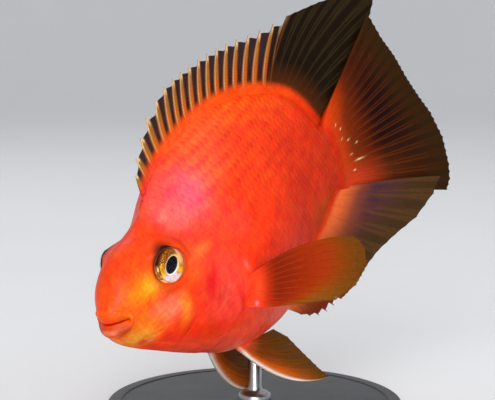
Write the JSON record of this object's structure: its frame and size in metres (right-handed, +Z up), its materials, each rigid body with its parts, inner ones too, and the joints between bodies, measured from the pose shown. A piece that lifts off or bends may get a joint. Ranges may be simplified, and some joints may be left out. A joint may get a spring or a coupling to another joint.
{
  "type": "blood parrot cichlid",
  "caption": "Blood parrot cichlid, whole fish as a still life-size model, banking head down on a round stand with a short rod.",
  "frame": {"origin": "middle of the underside of the stand's round base", "axes": "+Z up; the head points toward -X and the fish's left side toward -Y, before the pose's bend, pitch and roll"},
  "size_m": [0.1925, 0.116, 0.1678],
  "materials": {
    "head_skin": "wet orange skin, yellower on the cheek",
    "body_skin": "wet orange-red scales with a pink sheen",
    "dark_fin": "thin olive-brown fin, orange at its root",
    "red_fin": "thin orange-red fin with an olive edge",
    "eye": "glossy gold eye with a black pupil",
    "stand_black": "satin black",
    "stand_steel": "brushed"
  },
  "bodies": {
    "root": {"head": "head_skin", "jaw": "head_skin", "gill_cover_left": "head_skin", "gill_cover_right": "head_skin", "trunk": "body_skin", "tail_base": "body_skin", "dorsal_fin": "dark_fin", "anal_fin": "dark_fin", "caudal_fin": "dark_fin", "pectoral_fin_left": "red_fin", "pectoral_fin_right": "red_fin", "pelvic_fin_left": "red_fin", "pelvic_fin_right": "red_fin", "eye_left": "eye", "eye_right": "eye", "stand_base": "stand_black", "stand_rod": "stand_steel"}
  },
  "joints": []
}
